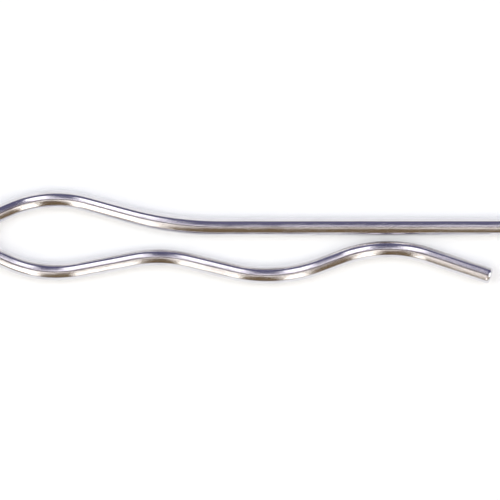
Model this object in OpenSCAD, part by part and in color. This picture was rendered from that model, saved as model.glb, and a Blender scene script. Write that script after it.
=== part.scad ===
// Hairpin cotter: one length of round spring wire. The straight leg goes through a cross
// hole in a shaft, and the waved leg snaps over the outside of the shaft and holds it there.
//
// The wire is laid out flat, on the centreline, in a frame with its zero at the seat:
// x runs along the straight leg's axis, away from the bow, and y is up from that axis.
// Every bend is given by where it lies, and the wire runs straight from bend to bend.

/* [Wire] */
// Diameter of the round spring wire
wire_d = 2; // [1.6:0.1:2.4]
// Radius of the tumbled edge round each cut end
end_round = 0.4; // [0.1:0.05:0.6]

/* [Straight leg] */
// Reach of the straight leg past the seat
leg_reach = 29.3; // [27:0.1:40]
// Distance behind the seat at which the leg starts to bend
neck_back = 5.6; // [2:0.1:8]
// Bend radius of the neck, between the leg and the bow
neck_r = 41; // [15:1:60]

/* [Bow] */
// Distance from the first hump back to the widest place of the bow
bow_pitch = 11.9; // [10:0.1:16]
// Distance from the widest place of the bow back to its round end
bow_len = 8.4; // [6:0.1:13]
// Height of the bow's top above the straight leg's axis
crown_rise = 3.25; // [2:0.05:4.5]
// Height of the bow's underside above the seat
belly_lift = 0.4; // [0:0.05:1]
// Bend radius of the bow's top and bottom
bow_side_r = 13.5; // [7:0.5:20]
// Bend radius of the bow's round end
bow_end_r = 2.8; // [2:0.1:3.6]

/* [First hump] */
// Distance from the seat back to the first hump
hump_pitch = 12.9; // [10:0.1:17]
// Height of the first hump above the seat
hump_rise = 2.15; // [1.2:0.05:3]
// Bend radius of the first hump
hump_r = 15.5; // [5:0.5:25]

/* [Seat] */
// Diameter of the shaft that the pin grips
shaft_d = 9.5; // [7:0.1:13]
// How far the seat of the free pin lies inside the shaft's surface
seat_pinch = 0.05; // [0:0.05:0.5]
// Bend radius of the seat
seat_r = 17.5; // [6:0.5:25]

/* [Latch hump] */
// Distance from the seat forward to the latch hump
latch_pitch = 14.25; // [11:0.05:18]
// Gap between the latch hump and the straight leg when the pin is free
latch_gap = 0.6; // [0.2:0.1:1.5]
// Bend radius of the latch hump
latch_r = 15.5; // [5:0.5:25]

/* [Tip] */
// Distance from the latch hump forward to the end of the flared tip
tip_len = 12.15; // [9:0.05:14]
// Angle at which the tip flares away from the straight leg
tip_angle = 18.4; // [10:0.1:25]

/* [Hidden] */
$fn = 48;

wire_r = wire_d / 2;

// The rounded edge leaves at least this share of the wire's radius as the end's flat face
least_flat = 0.55;
edge_r = min(end_round, wire_r * (1 - least_flat));
flat_r = wire_r - edge_r;

// Levels of the wire's centreline below the straight leg's axis
seat_drop = shaft_d / 2 + wire_r - seat_pinch;
hump_drop = seat_drop - hump_rise;
belly_drop = seat_drop - belly_lift;
latch_drop = wire_d + latch_gap;

// Places along the leg
hump_at = -hump_pitch;
bow_at = hump_at - bow_pitch;
bow_end_at = bow_at - bow_len;
tip_at = latch_pitch + tip_len;

// A bend keeps its own radius unless the bends beside it leave too little room for it.
// This share of the room is the most that the bends take, and a straight takes the rest.
most_of_room = 0.98;

// Largest sum of the radii of two opposite bends, by how far apart they lie and in level
function room(apart, step) = most_of_room * (apart * apart + step * step) / (2 * step);

neck_room = room(-neck_back - bow_at, crown_rise);
hump_room = room(bow_pitch, hump_rise - belly_lift);
seat_room = room(hump_pitch, hump_rise);
latch_room = room(latch_pitch, seat_drop - latch_drop);

// The bow's round end lies midway between its top and its underside
bow_half = (crown_rise + belly_drop) / 2;
bow_end_y = (crown_rise - belly_drop) / 2;
bow_end_x = bow_end_at + bow_end_r;

// Largest bow side that still runs into the round end without a kink
bow_end_run = bow_at - bow_end_x;
bow_side_room = most_of_room
  * (bow_end_run * bow_end_run + bow_half * bow_half - bow_end_r * bow_end_r)
  / (2 * (bow_half - bow_end_r));

bow_side_fit = min(bow_side_r, bow_side_room);
neck_fit = min(neck_r, neck_room - bow_side_fit);
behind_seat = min(1, seat_room / (hump_r + seat_r));
ahead_of_seat = min(1, latch_room / (seat_r + latch_r));
hump_fit = min(hump_r * behind_seat, hump_room - bow_side_fit);
seat_fit = seat_r * min(behind_seat, ahead_of_seat);
latch_fit = latch_r * ahead_of_seat;

// The wire is laid out in metres and enlarged to millimetres, which keeps the rounding of
// each coordinate far below the width at which two faces of one joint would come apart
metre = 1000;

// The bends in their order along the wire, from the end of the straight leg to the tip:
// the centre's x and y, the centreline's radius, and the turn (1 is left, -1 is right)
bends_mm = [
  [-neck_back, neck_fit, neck_fit, -1],
  [bow_at, crown_rise - bow_side_fit, bow_side_fit, 1],
  [bow_end_x, bow_end_y, bow_end_r, 1],
  [bow_at, bow_side_fit - belly_drop, bow_side_fit, 1],
  [hump_at, -hump_drop - hump_fit, hump_fit, -1],
  [0, seat_fit - seat_drop, seat_fit, 1],
  [latch_pitch, -latch_drop - latch_fit, latch_fit, -1]
];
bends = [for (b = bends_mm) [b[0] / metre, b[1] / metre, b[2] / metre, b[3]]];
last_bend = len(bends) - 1;

function centre(b) = [b[0], b[1]];
function radius(b) = b[2];
function turn(b) = b[3];

// Direction of the straight that leaves bend a and runs into bend b
function heading_between(a, b) =
  let (line = centre(b) - centre(a))
  let (side = turn(b) * radius(b) - turn(a) * radius(a))
  atan2(line.y, line.x) - asin(side / norm(line));

// Direction of the wire before each bend, and at the end after the last one
headings = [
  180,
  for (i = [0 : last_bend - 1]) heading_between(bends[i], bends[i + 1]),
  -tip_angle
];

// Point of bend b at which the wire runs in the given direction
function point_on(b, heading) = centre(b) + turn(b) * radius(b) * [sin(heading), -cos(heading)];

// Angle that the wire turns through in bend i, positive to the left
function swing(i) =
  let (t = turn(bends[i]))
  t * ((t * (headings[i + 1] - headings[i]) + 720) % 360);

// Both cut ends: the leg's on its axis, and the tip's on the line that flares away
leg_end = [leg_reach / metre, 0];
tip_start = point_on(bends[last_bend], -tip_angle);
tip_dir = [cos(tip_angle), -sin(tip_angle)];
tip_end = tip_start + tip_dir * (tip_at / metre - tip_start.x) / tip_dir.x;

// Middle of the rounded edge at the low and at the forward corner of the tip
edge_back = tip_end * metre - tip_dir * edge_r;
edge_side = [tip_dir.y, -tip_dir.x] * flat_r;
tip_low = (edge_back + edge_side).y - edge_r;
tip_far = (edge_back - edge_side).x + edge_r;

// Middle of the whole pin, which stands over the origin
box_left = bow_end_at - wire_r;
box_right = max(leg_reach, tip_far);
box_low = min(-seat_drop - wire_r, tip_low);
box_high = crown_rise + wire_r;
middle = [(box_left + box_right) / 2, (box_low + box_high) / 2];

// One bend of the wire
module bent_piece(i) {
  b = bends[i];
  translate([b[0], b[1], 0])
    rotate([0, 0, headings[i] - 90 * turn(b)])
      rotate_extrude(angle = swing(i))
        translate([radius(b), 0])
          circle(r = wire_r / metre);
}

// One straight of the wire, between two points
module straight_piece(from, to) {
  line = to - from;
  translate([from.x, from.y, 0])
    rotate([0, 0, atan2(line.y, line.x)])
      rotate([0, 90, 0])
        cylinder(h = norm(line), r = wire_r / metre);
}

// The last of the wire at a cut end, with its edge tumbled round
module cut_end(from, heading) {
  edge = edge_r / metre;
  flat = flat_r / metre;
  translate([from.x, from.y, 0])
    rotate([0, 0, heading])
      rotate([0, 90, 0])
        rotate_extrude() {
          square([flat, edge]);
          translate([flat, 0])
            intersection() {
              circle(r = edge);
              square(edge);
            }
        }
}

// The whole pin, bent from one length of wire and lying flat
module spring_wire() {
  leg_edge = leg_end - [edge_r / metre, 0];
  tip_edge = tip_end - tip_dir * edge_r / metre;
  color("silver")
    translate([-middle.x, -middle.y, wire_r])
      scale(metre) {
        cut_end(leg_edge, 0);
        straight_piece(leg_edge, point_on(bends[0], 180));
        for (i = [0 : last_bend])
          bent_piece(i);
        for (i = [1 : last_bend])
          straight_piece(point_on(bends[i - 1], headings[i]), point_on(bends[i], headings[i]));
        straight_piece(tip_start, tip_edge);
        cut_end(tip_edge, -tip_angle);
      }
}

spring_wire();
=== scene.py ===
"""A hairpin cotter pin bent from one length of zinc-plated spring wire, lying in the studio."""

import math

import bpy
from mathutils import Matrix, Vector


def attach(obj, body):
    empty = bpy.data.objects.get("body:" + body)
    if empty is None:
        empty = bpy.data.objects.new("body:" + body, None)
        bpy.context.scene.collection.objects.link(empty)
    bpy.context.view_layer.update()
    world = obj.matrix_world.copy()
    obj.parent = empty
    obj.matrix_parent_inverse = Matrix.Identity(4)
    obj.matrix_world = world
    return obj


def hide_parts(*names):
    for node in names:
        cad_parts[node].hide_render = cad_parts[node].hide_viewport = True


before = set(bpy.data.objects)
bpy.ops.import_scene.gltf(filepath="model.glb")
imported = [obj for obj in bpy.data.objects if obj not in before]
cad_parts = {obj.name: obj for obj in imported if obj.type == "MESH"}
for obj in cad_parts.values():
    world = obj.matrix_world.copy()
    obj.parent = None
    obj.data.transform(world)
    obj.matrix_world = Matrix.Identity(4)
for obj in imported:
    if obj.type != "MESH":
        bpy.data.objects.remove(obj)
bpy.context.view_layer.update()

MM = 0.001

# ---------------------------------------------------------------------------------------
# Sizes of the pin, in metres. The centreline is laid out from the seat: x runs along the
# straight leg's axis, towards its free end, and y is up from that axis
# ---------------------------------------------------------------------------------------

# The round wire, and the tumbled edge round each cut end
WIRE_R = 1.0 * MM
END_ROUND = 0.4 * MM

# The straight leg: its reach past the seat, how far behind the seat it bends, and the neck
LEG_REACH = 29.3 * MM
NECK_BACK = 5.6 * MM
NECK_R = 41.0 * MM

# The bow: from the first hump back to its widest place, on to its round end, its top above the
# leg's axis, its underside above the seat, and the bends of its sides and of its round end
BOW_PITCH = 11.9 * MM
BOW_LEN = 8.4 * MM
CROWN_RISE = 3.25 * MM
BELLY_LIFT = 0.4 * MM
BOW_SIDE_R = 13.5 * MM
BOW_END_R = 2.8 * MM

# The first hump: how far behind and above the seat it lies
HUMP_PITCH = 12.9 * MM
HUMP_RISE = 2.15 * MM
HUMP_R = 15.5 * MM

# The seat: the shaft that it grips, and how far it lies inside the shaft's surface
SHAFT_D = 9.5 * MM
SEAT_PINCH = 0.05 * MM
SEAT_R = 17.5 * MM

# The latch hump: how far ahead of the seat it lies, and its gap to the leg
LATCH_PITCH = 14.25 * MM
LATCH_GAP = 0.6 * MM
LATCH_R = 15.5 * MM

# The tip: how far past the latch hump it ends, and its flare
TIP_LEN = 12.15 * MM
TIP_ANGLE = math.radians(18.4)

# Levels of the centreline below the straight leg's axis
SEAT_DROP = SHAFT_D / 2 + WIRE_R - SEAT_PINCH
HUMP_DROP = SEAT_DROP - HUMP_RISE
BELLY_DROP = SEAT_DROP - BELLY_LIFT
LATCH_DROP = 2 * WIRE_R + LATCH_GAP

# Places along the leg
BOW_AT = -HUMP_PITCH - BOW_PITCH
BOW_END_AT = BOW_AT - BOW_LEN
TIP_AT = LATCH_PITCH + TIP_LEN

# Each bend: its centre's x and y, the centreline's radius, the turn, and how hard the forming
# pin pressed on the inner side, from 0 to 1, which also sets how dark the painted shade at the
# bend's middle is
LEFT = 1
RIGHT = -1
BENDS = (
    # The neck
    (-NECK_BACK, NECK_R, NECK_R, RIGHT, 0.0),
    # The top, the round end and the underside of the bow
    (BOW_AT, CROWN_RISE - BOW_SIDE_R, BOW_SIDE_R, LEFT, 0.9),
    (BOW_END_AT + BOW_END_R, (CROWN_RISE - BELLY_DROP) / 2, BOW_END_R, LEFT, 1.0),
    (BOW_AT, BOW_SIDE_R - BELLY_DROP, BOW_SIDE_R, LEFT, 0.9),
    # The first hump, the seat and the latch hump
    (-HUMP_PITCH, -HUMP_DROP - HUMP_R, HUMP_R, RIGHT, 0.8),
    (0.0, SEAT_R - SEAT_DROP, SEAT_R, LEFT, 0.7),
    (LATCH_PITCH, -LATCH_DROP - LATCH_R, LATCH_R, RIGHT, 1.0),
)

# The middle of the pin's length and width stands over the origin, and the pin lies on z = 0
MIDDLE_X = (LEG_REACH + BOW_END_AT - WIRE_R) / 2
MIDDLE_Y = (CROWN_RISE - SEAT_DROP) / 2
PIN_MIDDLE = Vector((MIDDLE_X, MIDDLE_Y, -WIRE_R))

# Spacing of the rings along the wire, and the sides of each ring
RING_STEP = 0.2 * MM
RING_SIDES = 56

# A cut face is a stack of rings, a hair apart, that grow from its middle to its rim. The rings
# of the tumbled edge come after them
FACE_RINGS = 14
FACE_STEP = 0.0003 * MM
EDGE_RINGS = 10

# Length of the flat that a forming pin leaves, which is also the length of the painted shade at a
# bend, and the flat's depth at full pressure
PRESS_LENGTH = 2.4 * MM
PRESS_DEPTH = 0.022 * MM

# Places along the wire this close are one place, and points of its skin this close are merged
SAME_PLACE = 1e-9
SAME_POINT = 2e-8

# ---------------------------------------------------------------------------------------
# The path of the wire
# ---------------------------------------------------------------------------------------


def direction(heading):
    """Unit vector along a heading in the plane of the pin."""
    return Vector((math.cos(heading), math.sin(heading), 0.0))


def left_of(heading):
    """Unit vector to the left of a heading."""
    return Vector((-math.sin(heading), math.cos(heading), 0.0))


def point_on(bend, heading):
    """The place in a bend at which the wire runs along a heading."""
    return bend["centre"] - bend["turn"] * bend["radius"] * left_of(heading)


def straight_heading(a, b):
    """Heading of the straight that leaves bend a and runs into bend b."""
    line = b["centre"] - a["centre"]
    side = b["turn"] * b["radius"] - a["turn"] * a["radius"]
    return math.atan2(line.y, line.x) - math.asin(side / line.length)


def wire_runs():
    """The straights and bends of the wire in order, each with its start along the wire.

    A straight holds the place that it runs from, and a bend holds its own circle.
    """
    bends = [
        {"centre": Vector((x, y, 0.0)), "radius": radius, "turn": turn, "press": press}
        for x, y, radius, turn, press in BENDS
    ]
    headings = [math.pi]
    headings += [straight_heading(a, b) for a, b in zip(bends, bends[1:])]
    headings.append(-TIP_ANGLE)

    runs = []
    place = Vector((LEG_REACH, 0.0, 0.0))
    for bend, before, after in zip(bends, headings, headings[1:]):
        length = (point_on(bend, before) - place).length
        runs.append({"from": place, "heading": before, "length": length})
        swing = (bend["turn"] * (after - before)) % (2 * math.pi)
        runs.append({"bend": bend, "heading": before, "length": swing * bend["radius"]})
        place = point_on(bend, after)
    length = (TIP_AT - place.x) / math.cos(TIP_ANGLE)
    runs.append({"from": place, "heading": -TIP_ANGLE, "length": length})

    start = 0.0
    for run in runs:
        run["start"] = start
        start += run["length"]
    return runs


def station(run, along):
    """The centreline's place and heading at a distance along the wire, within one run."""
    gone = along - run["start"]
    heading = run["heading"]
    if "from" in run:
        return run["from"] + direction(heading) * gone, heading
    bend = run["bend"]
    heading += bend["turn"] * gone / bend["radius"]
    return point_on(bend, heading), heading


def ring_places(total):
    """Distances along the wire at which a ring stands, from one cut face to the other."""
    near_end = [k * FACE_STEP for k in range(FACE_RINGS + 1)]
    quarter = [math.pi / 2 * k / EDGE_RINGS for k in range(1, EDGE_RINGS + 1)]
    near_end += [END_ROUND * (1 - math.cos(a)) for a in quarter]
    count = round((total - 2 * END_ROUND) / RING_STEP)
    middle = [END_ROUND + (total - 2 * END_ROUND) * k / count for k in range(1, count)]
    return near_end + middle + [total - place for place in reversed(near_end)]


def press_at(runs, along):
    """How hard a forming pin pressed at a place, above 0 on the left and below 0 on the right.

    The same value sets how dark the painted shade at a bend is.
    """
    for run in runs:
        middle = run["start"] + run["length"] / 2
        offset = abs(along - middle) / (PRESS_LENGTH / 2)
        if "bend" in run and offset < 1:
            force = run["bend"]["turn"] * run["bend"]["press"]
            return force * math.cos(offset * math.pi / 2) ** 2
    return 0.0


def path_of_wire():
    """An edge-only mesh along the centreline, with what the sweep needs at each point."""
    runs = wire_runs()
    total = runs[-1]["start"] + runs[-1]["length"]
    places = ring_places(total)
    points = []
    across = []
    for along in places:
        run = next(r for r in reversed(runs) if r["start"] <= along + SAME_PLACE)
        place, heading = station(run, along)
        points.append(place - PIN_MIDDLE)
        across.extend(left_of(heading))
    mesh = bpy.data.meshes.new("wire_path")
    mesh.from_pydata(points, [(i, i + 1) for i in range(len(points) - 1)], [])
    for name, kind, field, values in (
        ("along", "FLOAT", "value", places),
        ("to_end", "FLOAT", "value", [min(along, total - along) for along in places]),
        ("press", "FLOAT", "value", [press_at(runs, along) for along in places]),
        ("across", "FLOAT_VECTOR", "vector", across),
    ):
        mesh.attributes.new(name, kind, "POINT").data.foreach_set(field, values)
    path = bpy.data.objects.new("wire_path", mesh)
    bpy.context.scene.collection.objects.link(path)
    return path, total


# ---------------------------------------------------------------------------------------
# Node helpers
# ---------------------------------------------------------------------------------------


def plug(tree, socket, value):
    """Joins an output socket to an input, or sets the input's own value."""
    if isinstance(value, bpy.types.NodeSocket):
        tree.links.new(value, socket)
    else:
        socket.default_value = value


def add(tree, kind, inputs=None, **settings):
    """Adds a node, with its settings and with its inputs by name or number."""
    node = tree.nodes.new(kind)
    for name, value in settings.items():
        setattr(node, name, value)
    for name, value in (inputs or {}).items():
        plug(tree, node.inputs[name], value)
    return node


def calc(tree, operation, *values, clamp=False):
    """Output of a Math node."""
    inputs = dict(enumerate(values))
    return add(tree, "ShaderNodeMath", inputs, operation=operation, use_clamp=clamp).outputs[0]


def vector_calc(tree, operation, *values, output="Vector"):
    """Output of a Vector Math node."""
    inputs = dict(enumerate(values))
    return add(tree, "ShaderNodeVectorMath", inputs, operation=operation).outputs[output]


def scaled(tree, vector, factor):
    """A vector times a number."""
    inputs = {0: vector, "Scale": factor}
    return add(tree, "ShaderNodeVectorMath", inputs, operation="SCALE").outputs["Vector"]


def part_of(tree, vector, axis):
    """One part of a vector or a colour: X, Y or Z."""
    return add(tree, "ShaderNodeSeparateXYZ", {"Vector": vector}).outputs[axis]


def ramp(tree, value, low, high, to_low=0.0, to_high=1.0, smooth=False):
    """A value mapped from one range to another and held inside it."""
    inputs = {"Value": value, "From Min": low, "From Max": high}
    inputs.update({"To Min": to_low, "To Max": to_high})
    curve = "SMOOTHSTEP" if smooth else "LINEAR"
    node = add(tree, "ShaderNodeMapRange", inputs, clamp=True, interpolation_type=curve)
    return node.outputs["Result"]


def mix(tree, kind, factor, first, second):
    """First where the factor is 0, second where it is 1. Kind is FLOAT or RGBA."""
    node = add(tree, "ShaderNodeMix", data_type=kind)
    shown = {socket.name: socket for socket in node.inputs if socket.enabled}
    for name, value in (("Factor", factor), ("A", first), ("B", second)):
        plug(tree, shown[name], value)
    return next(socket for socket in node.outputs if socket.enabled)


def noise(tree, vector, scale, detail, roughness=0.5):
    """Smooth noise between 0 and 1."""
    inputs = {"Vector": vector, "Scale": scale, "Detail": detail, "Roughness": roughness}
    return add(tree, "ShaderNodeTexNoise", inputs).outputs[0]


def wandering(tree, value, noise_value, reach):
    """A value that noise moves up and down, over a reach."""
    swing = calc(tree, "SUBTRACT", noise_value, 0.5)
    return calc(tree, "ADD", value, calc(tree, "MULTIPLY", swing, reach))


def group(tree, made, inputs):
    """Places a shader group and gives its outputs."""
    return add(tree, "ShaderNodeGroup", inputs, node_tree=made).outputs


def socket_in(tree, name, kind, value=None):
    """Adds a named input to a node group."""
    item = tree.interface.new_socket(name=name, in_out="INPUT", socket_type=kind)
    if value is not None:
        item.default_value = value


def socket_out(tree, name, kind):
    """Adds a named output to a node group."""
    tree.interface.new_socket(name=name, in_out="OUTPUT", socket_type=kind)


# ---------------------------------------------------------------------------------------
# The sweep that turns the path into wire
# ---------------------------------------------------------------------------------------

# A ring is on the cut face up to this share of the face's length, which allows for rounding
FACE_SHARE = 1.001

# The tear of a cut face: its depth, its fixed seed, its grains to the metre, how far the line
# between sheared and torn wanders, and half the width over which one passes into the other
TEAR_DEPTH = 0.06 * MM
TEAR_SEED = 3.0
TEAR_SCALE = 3400.0
TEAR_WANDER = 0.3 * MM
TEAR_BLEND = 0.2 * MM

# Shares of that depth: how far the whole face is set back, how much further the torn half
# goes, and how much of its grain is added there
SHEARED_SHARE = 0.12
TORN_SHARE = 0.25
GRAIN_SHARE = 1.1

# The power with which the relief fades out towards the rim of a cut face
RIM_POWER = 5.0


def named(tree, name, kind):
    """A named attribute of the geometry."""
    node = add(tree, "GeometryNodeInputNamedAttribute", {"Name": name}, data_type=kind)
    return node.outputs["Attribute"]


def changed(tree, kind, geometry, inputs=None, **settings):
    """Adds a node that changes the geometry, and gives the changed geometry."""
    return add(tree, kind, {"Geometry": geometry, **(inputs or {})}, **settings).outputs["Geometry"]


def ring_sizes(tree, given, flat_radius):
    """Each ring's radius, and 1 for a ring of a cut face, by the distance to the nearer end.

    A flat cone of rings covers the cut face, then comes the quarter round of the tumbled edge,
    and then the full wire.
    """
    edge = given["End round"]
    to_end = named(tree, "to_end", "FLOAT")
    rise = calc(tree, "SUBTRACT", edge, calc(tree, "MINIMUM", to_end, edge))
    edge_squared = calc(tree, "MULTIPLY", edge, edge)
    arc = calc(tree, "SUBTRACT", edge_squared, calc(tree, "MULTIPLY", rise, rise))
    arc = calc(tree, "SQRT", calc(tree, "MAXIMUM", arc, 0.0))
    round_radius = calc(tree, "ADD", flat_radius, arc)
    over_face = calc(tree, "DIVIDE", to_end, given["Face length"])
    face_radius = calc(tree, "MULTIPLY", flat_radius, over_face)
    on_face = calc(tree, "LESS_THAN", over_face, FACE_SHARE)
    return mix(tree, "FLOAT", on_face, round_radius, face_radius), on_face


def press_offset(tree, given, across, to_left):
    """How each point moves onto the flat that a forming pin pressed on the inner side."""
    press = named(tree, "press", "FLOAT")
    inner = calc(tree, "SIGN", press)
    depth = calc(tree, "MULTIPLY", given["Press depth"], calc(tree, "ABSOLUTE", press))
    limit = calc(tree, "SUBTRACT", given["Wire radius"], depth)
    dent = calc(tree, "SUBTRACT", limit, calc(tree, "MULTIPLY", to_left, inner))
    dent = calc(tree, "MINIMUM", 0.0, dent)
    return scaled(tree, across, calc(tree, "MULTIPLY", dent, inner))


def crop_offset(tree, given, run, across, from_centre, flat_radius):
    """How each point of a cut face moves into the wire: a little, and more on its torn half."""
    part = add(tree, "ShaderNodeSeparateXYZ", {"Vector": run}).outputs
    grain = add(
        tree,
        "ShaderNodeTexNoise",
        {"Vector": run, "W": given["Seed"], "Scale": TEAR_SCALE, "Detail": 1.0, "Roughness": 0.5},
        noise_dimensions="4D",
    ).outputs[0]
    tear_line = wandering(tree, part["Z"], grain, TEAR_WANDER)
    torn = ramp(tree, tear_line, -TEAR_BLEND, TEAR_BLEND, smooth=True)
    roughly = calc(tree, "ADD", TORN_SHARE, calc(tree, "MULTIPLY", grain, GRAIN_SHARE))
    set_back = calc(tree, "ADD", SHEARED_SHARE, calc(tree, "MULTIPLY", torn, roughly))

    from_axis = vector_calc(tree, "LENGTH", from_centre, output="Value")
    rim = calc(tree, "POWER", calc(tree, "DIVIDE", from_axis, flat_radius), RIM_POWER)
    inside_rim = calc(tree, "SUBTRACT", 1.0, rim, clamp=True)
    set_back = calc(tree, "MULTIPLY", set_back, inside_rim)
    depth = calc(tree, "MULTIPLY", set_back, given["Tear depth"])

    forward = vector_calc(tree, "CROSS_PRODUCT", across, (0.0, 0.0, 1.0))
    halfway = calc(tree, "MULTIPLY", given["Wire length"], 0.5)
    which_end = calc(tree, "SIGN", calc(tree, "SUBTRACT", halfway, part["X"]))
    return scaled(tree, forward, calc(tree, "MULTIPLY", depth, which_end))


def wire_sweep():
    """Geometry nodes that sweep round wire along a path, press its bends and crop its ends."""
    tree = bpy.data.node_groups.new("wire_sweep", "GeometryNodeTree")
    socket_out(tree, "Wire", "NodeSocketGeometry")
    socket_in(tree, "Path", "NodeSocketGeometry")
    sizes = ("Wire length", "Wire radius", "End round", "Face length", "Press depth", "Tear depth")
    for name in sizes + ("Seed",):
        socket_in(tree, name, "NodeSocketFloat")
    socket_in(tree, "Sides", "NodeSocketInt")
    for name in ("Plating", "Cropped face"):
        socket_in(tree, name, "NodeSocketMaterial")
    given = add(tree, "NodeGroupInput").outputs
    radius = given["Wire radius"]
    flat_radius = calc(tree, "SUBTRACT", radius, given["End round"])
    ring_radius, on_face = ring_sizes(tree, given, flat_radius)

    # Rings along the path, which keep their centre and know whether they are on a cut face
    curve = add(tree, "GeometryNodeMeshToCurve", {"Mesh": given["Path"]}).outputs["Curve"]
    held = add(tree, "GeometryNodeCaptureAttribute", {"Geometry": curve})
    held.capture_items.new("VECTOR", "Centre")
    held.capture_items.new("FLOAT", "Face")
    plug(tree, held.inputs["Centre"], add(tree, "GeometryNodeInputPosition").outputs[0])
    plug(tree, held.inputs["Face"], on_face)
    ring = add(
        tree,
        "GeometryNodeCurvePrimitiveCircle",
        {"Resolution": given["Sides"], "Radius": radius},
        mode="RADIUS",
    )
    swept = add(
        tree,
        "GeometryNodeCurveToMesh",
        {
            "Curve": held.outputs["Geometry"],
            "Profile Curve": ring.outputs["Curve"],
            "Scale": calc(tree, "DIVIDE", ring_radius, radius),
        },
    ).outputs["Mesh"]
    closed = changed(tree, "GeometryNodeMergeByDistance", swept, {"Distance": SAME_POINT})

    # Each point's place in the straightened wire: along it, to its left, and up
    across = named(tree, "across", "FLOAT_VECTOR")
    position = add(tree, "GeometryNodeInputPosition").outputs[0]
    from_centre = vector_calc(tree, "SUBTRACT", position, held.outputs["Centre"])
    to_left = vector_calc(tree, "DOT_PRODUCT", from_centre, across, output="Value")
    run = add(
        tree,
        "ShaderNodeCombineXYZ",
        {"X": named(tree, "along", "FLOAT"), "Y": to_left, "Z": part_of(tree, from_centre, "Z")},
    ).outputs["Vector"]
    stored = changed(
        tree,
        "GeometryNodeStoreNamedAttribute",
        closed,
        {"Name": "wire_run", "Value": run},
        data_type="FLOAT_VECTOR",
        domain="POINT",
    )

    flats = press_offset(tree, given, across, to_left)
    pressed = changed(tree, "GeometryNodeSetPosition", stored, {"Offset": flats})
    inward = crop_offset(tree, given, run, across, from_centre, flat_radius)
    relief = scaled(tree, inward, held.outputs["Face"])
    cropped = changed(tree, "GeometryNodeSetPosition", pressed, {"Offset": relief})

    smooth = changed(tree, "GeometryNodeSetShadeSmooth", cropped)
    whole = changed(tree, "GeometryNodeRealizeInstances", smooth)
    plated = changed(tree, "GeometryNodeSetMaterial", whole, {"Material": given["Plating"]})
    face = calc(tree, "GREATER_THAN", held.outputs["Face"], 0.5)
    faced = {"Selection": face, "Material": given["Cropped face"]}
    ended = changed(tree, "GeometryNodeSetMaterial", plated, faced)
    add(tree, "NodeGroupOutput", {"Wire": ended})
    return tree


def set_inputs(modifier, values):
    """Sets a nodes modifier's inputs by the identifiers of their sockets."""
    for item in modifier.node_group.interface.items_tree:
        if item.item_type == "SOCKET" and item.name in values:
            modifier[item.identifier] = values[item.name]


def plain_mesh(source, name):
    """A new object with the finished mesh of a nodes modifier, and without the modifier."""
    bpy.context.view_layer.update()
    depsgraph = bpy.context.evaluated_depsgraph_get()
    mesh = bpy.data.meshes.new_from_object(
        source.evaluated_get(depsgraph), preserve_all_data_layers=True, depsgraph=depsgraph
    )
    mesh.name = name
    bpy.data.objects.remove(source)
    piece = bpy.data.objects.new(name, mesh)
    bpy.context.scene.collection.objects.link(piece)
    return piece


# ---------------------------------------------------------------------------------------
# Shader groups, which each material takes with its own values
# ---------------------------------------------------------------------------------------

# The drawing lines: their noise, how much wider and longer the broad ones are, the fine ones'
# share of the height, and the range of the broad ones that shows as streaks
LINE_SCALE = 0.5
LINE_ROUGHNESS = 0.65
BROAD_WIDTH = 3.2
BROAD_LENGTH = 2.0
FINE_SHARE = 0.55
STREAK_RANGE = (0.35, 0.65)

# The plating's clouds and pits, in cells to a patch. A share of the cells has a pit, which is
# deep out to its floor's radius and ends at its rim's
CLOUD_SCALE = 0.6
CLOUD_ROUGHNESS = 0.55
CLOUD_RANGE = (0.3, 0.7)
PIT_SCALE = 11.0
PIT_SHARE = 0.16
PIT_FLOOR = 0.05
PIT_RIM = 0.22

# Each set of handling marks: its turn about a slanted axis, in radians, and its cells to the
# metre. A small number stretches the cells that way, and the width is a mark's half, in cells
MARK_SETS = ((0.5, 900.0), (1.3, 650.0), (2.4, 1150.0))
MARK_AXIS = (0.2, 0.5, 1.0)
MARK_STRETCH = (0.12, 1.0, 1.0)
MARK_WIDTH = 0.09


def drawing_lines_group():
    """Fine and broad lines that the drawing die leaves along the wire."""
    tree = bpy.data.node_groups.new("drawing_lines", "ShaderNodeTree")
    socket_in(tree, "Run", "NodeSocketVector")
    socket_in(tree, "Line width", "NodeSocketFloat", 0.08 * MM)
    socket_in(tree, "Line length", "NodeSocketFloat", 9 * MM)
    socket_out(tree, "Height", "NodeSocketFloat")
    socket_out(tree, "Streak", "NodeSocketFloat")
    given = add(tree, "NodeGroupInput").outputs
    part = add(tree, "ShaderNodeSeparateXYZ", {"Vector": given["Run"]}).outputs

    def lines(width, length, detail):
        shrunk = {
            "X": calc(tree, "DIVIDE", part["X"], length),
            "Y": calc(tree, "DIVIDE", part["Y"], width),
            "Z": calc(tree, "DIVIDE", part["Z"], width),
        }
        place = add(tree, "ShaderNodeCombineXYZ", shrunk).outputs["Vector"]
        return noise(tree, place, LINE_SCALE, detail, LINE_ROUGHNESS)

    width, length = given["Line width"], given["Line length"]
    broad_width = calc(tree, "MULTIPLY", width, BROAD_WIDTH)
    broad_length = calc(tree, "MULTIPLY", length, BROAD_LENGTH)
    fine = lines(width, length, detail=3.0)
    broad = lines(broad_width, broad_length, detail=1.0)
    fine_height = calc(tree, "MULTIPLY", fine, FINE_SHARE)
    height = calc(tree, "ADD", fine_height, calc(tree, "MULTIPLY", broad, 1 - FINE_SHARE))
    add(tree, "NodeGroupOutput", {"Height": height, "Streak": ramp(tree, broad, *STREAK_RANGE)})
    return tree


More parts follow.
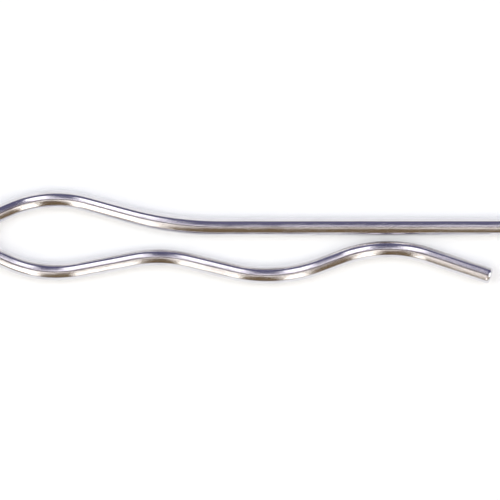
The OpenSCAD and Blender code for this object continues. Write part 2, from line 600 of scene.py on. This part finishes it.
def plating_cloud_group():
    """Cloudy change of tone and gloss over the plating, with small pits in it."""
    tree = bpy.data.node_groups.new("plating_cloud", "ShaderNodeTree")
    socket_in(tree, "Place", "NodeSocketVector")
    socket_in(tree, "Patch size", "NodeSocketFloat", 1.5 * MM)
    socket_in(tree, "Bright", "NodeSocketColor")
    socket_in(tree, "Dull", "NodeSocketColor")
    socket_out(tree, "Color", "NodeSocketColor")
    socket_out(tree, "Cloud", "NodeSocketFloat")
    socket_out(tree, "Pits", "NodeSocketFloat")
    given = add(tree, "NodeGroupInput").outputs
    place = scaled(tree, given["Place"], calc(tree, "DIVIDE", 1.0, given["Patch size"]))
    cloud = noise(tree, place, CLOUD_SCALE, detail=4.0, roughness=CLOUD_ROUGHNESS)
    cloud = ramp(tree, cloud, *CLOUD_RANGE)
    color = mix(tree, "RGBA", cloud, given["Bright"], given["Dull"])
    cells = add(tree, "ShaderNodeTexVoronoi", {"Vector": place, "Scale": PIT_SCALE}, feature="F1")
    pitted = calc(tree, "LESS_THAN", part_of(tree, cells.outputs["Color"], "Y"), PIT_SHARE)
    out = cells.outputs["Distance"]
    hollow = ramp(tree, out, PIT_FLOOR, PIT_RIM, to_low=1.0, to_high=0.0, smooth=True)
    pits = calc(tree, "MULTIPLY", hollow, pitted)
    add(tree, "NodeGroupOutput", {"Color": color, "Cloud": cloud, "Pits": pits})
    return tree


def handling_marks_group():
    """Short thin scratches from tumbling and handling, at odd angles to the wire."""
    tree = bpy.data.node_groups.new("handling_marks", "ShaderNodeTree")
    socket_in(tree, "Run", "NodeSocketVector")
    socket_in(tree, "Amount", "NodeSocketFloat", 0.5)
    socket_out(tree, "Marks", "NodeSocketFloat")
    given = add(tree, "NodeGroupInput").outputs
    marks = None
    for turn, scale in MARK_SETS:
        turned = add(
            tree,
            "ShaderNodeVectorRotate",
            {"Vector": given["Run"], "Angle": turn, "Axis": MARK_AXIS},
            rotation_type="AXIS_ANGLE",
        ).outputs["Vector"]
        long = vector_calc(tree, "MULTIPLY", turned, MARK_STRETCH)
        cells = add(tree, "ShaderNodeTexVoronoi", {"Vector": long, "Scale": scale}, feature="F1")
        out = cells.outputs["Distance"]
        thin = ramp(tree, out, 0.0, MARK_WIDTH, to_low=1.0, to_high=0.0)
        chosen = part_of(tree, cells.outputs["Color"], "X")
        chosen = calc(tree, "LESS_THAN", chosen, given["Amount"])
        one = calc(tree, "MULTIPLY", thin, chosen)
        marks = one if marks is None else calc(tree, "MAXIMUM", marks, one)
    add(tree, "NodeGroupOutput", {"Marks": marks})
    return tree


DRAWING_LINES = drawing_lines_group()
PLATING_CLOUD = plating_cloud_group()
HANDLING_MARKS = handling_marks_group()


# ---------------------------------------------------------------------------------------
# The two finishes
# ---------------------------------------------------------------------------------------

# The plating's colours: two tones of cloud, what streaks tend to, and the grey of the painted shade
# that darkens the middle of each bend, over its pressed flat
BRIGHT_ZINC = (0.80, 0.79, 0.81, 1)
DULL_ZINC = (0.71, 0.70, 0.73, 1)
STREAKED_ZINC = (0.62, 0.61, 0.63, 1)
BEND_SHADE_ZINC = (0.53, 0.515, 0.54, 1)

# How strongly streaks, and the painted shade at the bends, colour the wire
STREAK_TINT = 0.25
BEND_SHADE_TINT = 0.45

# The wire's roughness where the cloud is thin and thick, and how much a mark adds
WIRE_ROUGHNESS = (0.065, 0.135)
MARK_ROUGHNESS = 0.15

# The height of the drawing lines, and how deep marks and pits are, as shares of it
WIRE_BUMP = 0.007 * MM
MARK_DEPTH = 0.5
PIT_DEPTH = 0.4

# The cut face's colours: two tones of cloud, and what the torn half tends to
BRIGHT_FACE = (0.60, 0.59, 0.61, 1)
DULL_FACE = (0.46, 0.45, 0.47, 1)
TORN_FACE = (0.36, 0.35, 0.36, 1)
TORN_TINT = 0.55

# The line between the sheared and the torn half: its noise cells to the metre, how far it
# wanders, and half the width over which one finish passes into the other
FACE_LINE_SCALE = 1900.0
FACE_LINE_WANDER = 0.6 * MM
FACE_LINE_BLEND = 0.08 * MM

# The grit of the torn half: its noise cells to the metre, and how rough that noise is
GRIT_SCALE = 13000.0
GRIT_ROUGHNESS = 0.65

# The height of that grit, the scores' height as a share of it, and the roughness of the
# sheared and of the torn half
FACE_BUMP = 0.035 * MM
SCORE_SHARE = 0.12
FACE_ROUGHNESS = (0.2, 0.42)


def new_material(name):
    """A new material, its node tree and its Principled shader."""
    material = bpy.data.materials.new(name)
    material.use_nodes = True
    return material, material.node_tree, material.node_tree.nodes["Principled BSDF"]


def dress(tree, shader, color, roughness, height, distance):
    """Gives a metal its colour, its roughness and the height of its small relief."""
    bump = add(tree, "ShaderNodeBump", {"Height": height, "Distance": distance, "Strength": 1.0})
    plug(tree, shader.inputs["Base Color"], color)
    plug(tree, shader.inputs["Roughness"], roughness)
    plug(tree, shader.inputs["Normal"], bump.outputs["Normal"])
    shader.inputs["Metallic"].default_value = 1.0


def zinc_plated_wire():
    """Bright zinc over drawn spring wire, with painted shade darkening the middle of each bend."""
    material, tree, shader = new_material("zinc_plated_wire")
    run = add(tree, "ShaderNodeAttribute", attribute_name="wire_run").outputs["Vector"]
    press = add(tree, "ShaderNodeAttribute", attribute_name="press").outputs["Fac"]
    place = add(tree, "ShaderNodeTexCoord").outputs["Object"]
    drawn = {"Run": run, "Line width": 0.045 * MM, "Line length": 6 * MM}
    lines = group(tree, DRAWING_LINES, drawn)
    plated = {"Place": place, "Patch size": 1.6 * MM, "Bright": BRIGHT_ZINC, "Dull": DULL_ZINC}
    cloud = group(tree, PLATING_CLOUD, plated)
    marks = group(tree, HANDLING_MARKS, {"Run": run, "Amount": 0.22})["Marks"]

    streaked = calc(tree, "MULTIPLY", lines["Streak"], STREAK_TINT)
    # Painted shade: the colour turns a darker grey over the middle of each bend, by how hard the
    # forming pin pressed there
    pressed = calc(tree, "MULTIPLY", calc(tree, "ABSOLUTE", press), BEND_SHADE_TINT)
    color = mix(tree, "RGBA", streaked, cloud["Color"], STREAKED_ZINC)
    color = mix(tree, "RGBA", pressed, color, BEND_SHADE_ZINC)
    roughness = ramp(tree, cloud["Cloud"], 0.0, 1.0, *WIRE_ROUGHNESS)
    roughness = calc(tree, "ADD", roughness, calc(tree, "MULTIPLY", marks, MARK_ROUGHNESS))
    height = calc(tree, "SUBTRACT", lines["Height"], calc(tree, "MULTIPLY", marks, MARK_DEPTH))
    height = calc(tree, "SUBTRACT", height, calc(tree, "MULTIPLY", cloud["Pits"], PIT_DEPTH))
    dress(tree, shader, color, roughness, height, WIRE_BUMP)
    return material


def cropped_face():
    """The plated face of a cropped end, sheared smooth on one side and torn on the other."""
    material, tree, shader = new_material("cropped_face")
    run = add(tree, "ShaderNodeAttribute", attribute_name="wire_run").outputs["Vector"]
    plated = {"Place": run, "Patch size": 0.5 * MM, "Bright": BRIGHT_FACE, "Dull": DULL_FACE}
    cloud = group(tree, PLATING_CLOUD, plated)

    # The blade slides up the face, so the sheared half is scored along its stroke
    quarter_turn = {"Vector": run, "Angle": math.pi / 2}
    stroke = add(tree, "ShaderNodeVectorRotate", quarter_turn, rotation_type="Y_AXIS").outputs[0]
    scored = {"Run": stroke, "Line width": 0.03 * MM, "Line length": 1.2 * MM}
    score = group(tree, DRAWING_LINES, scored)["Height"]

    wander = noise(tree, run, FACE_LINE_SCALE, detail=2.0)
    line = wandering(tree, part_of(tree, run, "Z"), wander, FACE_LINE_WANDER)
    torn = ramp(tree, line, -FACE_LINE_BLEND, FACE_LINE_BLEND, smooth=True)
    grit = noise(tree, run, GRIT_SCALE, detail=4.0, roughness=GRIT_ROUGHNESS)
    height = mix(tree, "FLOAT", torn, calc(tree, "MULTIPLY", score, SCORE_SHARE), grit)
    tint = calc(tree, "MULTIPLY", torn, TORN_TINT)
    color = mix(tree, "RGBA", tint, cloud["Color"], TORN_FACE)
    roughness = ramp(tree, torn, 0.0, 1.0, *FACE_ROUGHNESS)
    dress(tree, shader, color, roughness, height, FACE_BUMP)
    return material


# ---------------------------------------------------------------------------------------
# The wire
# ---------------------------------------------------------------------------------------

path, wire_length = path_of_wire()
sweep = path.modifiers.new("wire_sweep", "NODES")
sweep.node_group = wire_sweep()
set_inputs(
    sweep,
    {
        "Wire length": wire_length,
        "Wire radius": WIRE_R,
        "End round": END_ROUND,
        "Face length": FACE_RINGS * FACE_STEP,
        "Press depth": PRESS_DEPTH,
        "Tear depth": TEAR_DEPTH,
        "Seed": TEAR_SEED,
        "Sides": RING_SIDES,
        "Plating": zinc_plated_wire(),
        "Cropped face": cropped_face(),
    },
)
wire = plain_mesh(path, "bent_wire")
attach(wire, "root")
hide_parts("spring_wire")

# ---------------------------------------------------------------------------------------
# The studio: a pale floor that sweeps up into a backdrop, soft lamps and the camera
# ---------------------------------------------------------------------------------------

# The floor: the radii of its flat rings, the radius of the curve that its rim takes upwards,
# the steps in that curve, and the steps round each ring
FLOOR_RINGS = (0.05, 0.3, 1.0, 1.62)
RIM_CURVE = 0.25
RIM_STEPS = 8
FLOOR_TURNS = 96

# The floor's finish, and how much it glows where it is seen or mirrored
FLOOR_WHITE = (0.90, 0.90, 0.90, 1)
FLOOR_ROUGHNESS = 0.9
FLOOR_GLOW = 0.15

# The lamps' colours in front of the pin, behind it and at its sides
WARM_WHITE = (1.0, 0.965, 0.91)
COOL_WHITE = (0.99, 0.955, 0.98)
FILL_WHITE = (0.955, 1.0, 0.99)

# The two softboxes, one on each side of the pin: how far out, how high, how large and how bright
SOFTBOX_OUT = 1.2
SOFTBOX_HEIGHT = 1.2
SOFTBOX_SIZE = (1.9, 1.7)
SOFTBOX_GLOW = 1.8

# The tall strips that stand round the pin: how bright they are, and how far off and how high
# a far one and a near one stand
STRIP_GLOW = 1.85
FAR_STAND = (1.6, 16.0)
NEAR_STAND = (0.4, 4.0)

# Each strip: its stand, the turns of its two sides, the height of its foot, and its colour. A
# turn is in degrees from straight behind the pin, clockwise as seen from above
IN_FRONT = 180.0
STRIPS = {
    "front_strip_right": (FAR_STAND, IN_FRONT - 16.4, IN_FRONT - 6.8, 0.4, WARM_WHITE),
    "front_strip_left": (FAR_STAND, IN_FRONT + 10.0, IN_FRONT + 14.8, 0.4, WARM_WHITE),
    "front_strip_far_left": (NEAR_STAND, IN_FRONT + 16.8, IN_FRONT + 30.5, 0.15, WARM_WHITE),
    "back_strip_left": (FAR_STAND, -18.0, -5.8, 1.1, COOL_WHITE),
    "back_strip_right": (FAR_STAND, 8.2, 19.5, 1.2, COOL_WHITE),
}

# The dim surround: its colour in front of the pin and behind it. One passes into the other
# where a direction's y lies within this of 0
SURROUND_FRONT = (0.195, 0.137, 0.078, 1)
SURROUND_BACK = (0.137, 0.133, 0.228, 1)
SURROUND_BLEND = 0.6

# The camera's lens and sensor, in millimetres, and the nearest that it sees, in metres. It
# looks straight down, and its view has this width and centre at the level of the wire's axis
LENS = 700.0
SENSOR = 36.0
NEAREST_SEEN = 0.05
VIEW_WIDTH = 58.82 * MM
VIEW_CENTRE = Vector((0.45 * MM, -1.48 * MM, WIRE_R))


def floor_finish():
    """Matt white that also glows a little for the camera and in gloss and glass."""
    material, tree, shader = new_material("pale_floor")
    shader.inputs["Base Color"].default_value = FLOOR_WHITE
    shader.inputs["Roughness"].default_value = FLOOR_ROUGHNESS
    shader.inputs["Specular IOR Level"].default_value = 0.0
    shader.inputs["Emission Color"].default_value = (1, 1, 1, 1)
    light_path = add(tree, "ShaderNodeLightPath").outputs
    seen = calc(tree, "MAXIMUM", light_path["Is Camera Ray"], light_path["Is Glossy Ray"])
    seen = calc(tree, "MAXIMUM", seen, light_path["Is Transmission Ray"])
    glow = calc(tree, "MULTIPLY", seen, FLOOR_GLOW)
    plug(tree, shader.inputs["Emission Strength"], glow)
    return material


def pale_floor():
    """A round floor whose rim curves up into a low backdrop."""
    reach = FLOOR_RINGS[-1]
    profile = [(radius, 0.0) for radius in FLOOR_RINGS]
    for step in range(1, RIM_STEPS + 1):
        angle = math.pi / 2 * step / RIM_STEPS
        rise = RIM_CURVE * (1 - math.cos(angle))
        profile.append((reach + RIM_CURVE * math.sin(angle), rise))
    points = [(0.0, 0.0, 0.0)]
    for radius, height in profile:
        for k in range(FLOOR_TURNS):
            angle = 2 * math.pi * k / FLOOR_TURNS
            points.append((radius * math.cos(angle), radius * math.sin(angle), height))
    faces = [(0, 1 + k, 1 + (k + 1) % FLOOR_TURNS) for k in range(FLOOR_TURNS)]
    for ring in range(len(profile) - 1):
        inner = 1 + ring * FLOOR_TURNS
        outer = inner + FLOOR_TURNS
        for k in range(FLOOR_TURNS):
            after = (k + 1) % FLOOR_TURNS
            faces.append((inner + k, outer + k, outer + after, inner + after))
    mesh = bpy.data.meshes.new("floor")
    mesh.from_pydata(points, [], faces)
    mesh.polygons.foreach_set("use_smooth", [True] * len(mesh.polygons))
    mesh.materials.append(floor_finish())
    floor = bpy.data.objects.new("floor", mesh)
    bpy.context.scene.collection.objects.link(floor)
    return floor


def flat_lamp(name, size, place, facing, glow, color):
    """A flat lamp, turned to face a way. Its glow is how bright its face is, 1 being white."""
    lamp = bpy.data.lights.new(name, "AREA")
    lamp.shape = "RECTANGLE"
    lamp.size, lamp.size_y = size
    lamp.energy = glow * math.pi * size[0] * size[1]
    lamp.color = color
    item = bpy.data.objects.new(name, lamp)
    item.location = place
    item.rotation_euler = facing
    item.visible_camera = False
    bpy.context.scene.collection.objects.link(item)


def softbox(name, side):
    """A large lamp that leans over the pin from one side, -1 being the left."""
    place = Vector((side * SOFTBOX_OUT, 0.0, SOFTBOX_HEIGHT))
    facing = (-place).to_track_quat("-Z", "Z").to_euler()
    flat_lamp(name, SOFTBOX_SIZE, place, facing, SOFTBOX_GLOW, FILL_WHITE)


def strip_lamp(name, stand, first_side, last_side, foot, color):
    """A tall narrow upright lamp that faces the pin, between the turns of its two sides."""
    away, top = stand
    turn = math.radians((first_side + last_side) / 2)
    half = math.radians((last_side - first_side) / 2)
    size = (2 * away * math.tan(half), top - foot)
    place = (away * math.sin(turn), away * math.cos(turn), (top + foot) / 2)
    facing = (math.pi / 2, 0.0, math.pi - turn)
    flat_lamp(name, size, place, facing, STRIP_GLOW, color)


def studio_world():
    """A dim surround, warm in front of the pin and cool behind it."""
    world = bpy.data.worlds.new("studio")
    world.use_nodes = True
    tree = world.node_tree
    place = add(tree, "ShaderNodeTexCoord").outputs["Generated"]
    back = part_of(tree, place, "Y")
    behind = ramp(tree, back, -SURROUND_BLEND, SURROUND_BLEND, smooth=True)
    color = mix(tree, "RGBA", behind, SURROUND_FRONT, SURROUND_BACK)
    plug(tree, tree.nodes["Background"].inputs["Color"], color)
    bpy.context.scene.world = world


def overhead_camera():
    """A camera straight above the pin, with a long lens."""
    lens = bpy.data.cameras.new("camera")
    lens.lens = LENS
    lens.sensor_width = SENSOR
    lens.clip_start = NEAREST_SEEN
    camera = bpy.data.objects.new("camera", lens)
    camera.location = VIEW_CENTRE + Vector((0, 0, VIEW_WIDTH * LENS / SENSOR))
    bpy.context.scene.collection.objects.link(camera)
    bpy.context.scene.camera = camera


pale_floor()
for name, strip in STRIPS.items():
    strip_lamp(name, *strip)
softbox("left_softbox", -1)
softbox("right_softbox", 1)
studio_world()
overhead_camera()
bpy.context.scene.view_settings.view_transform = "Standard"
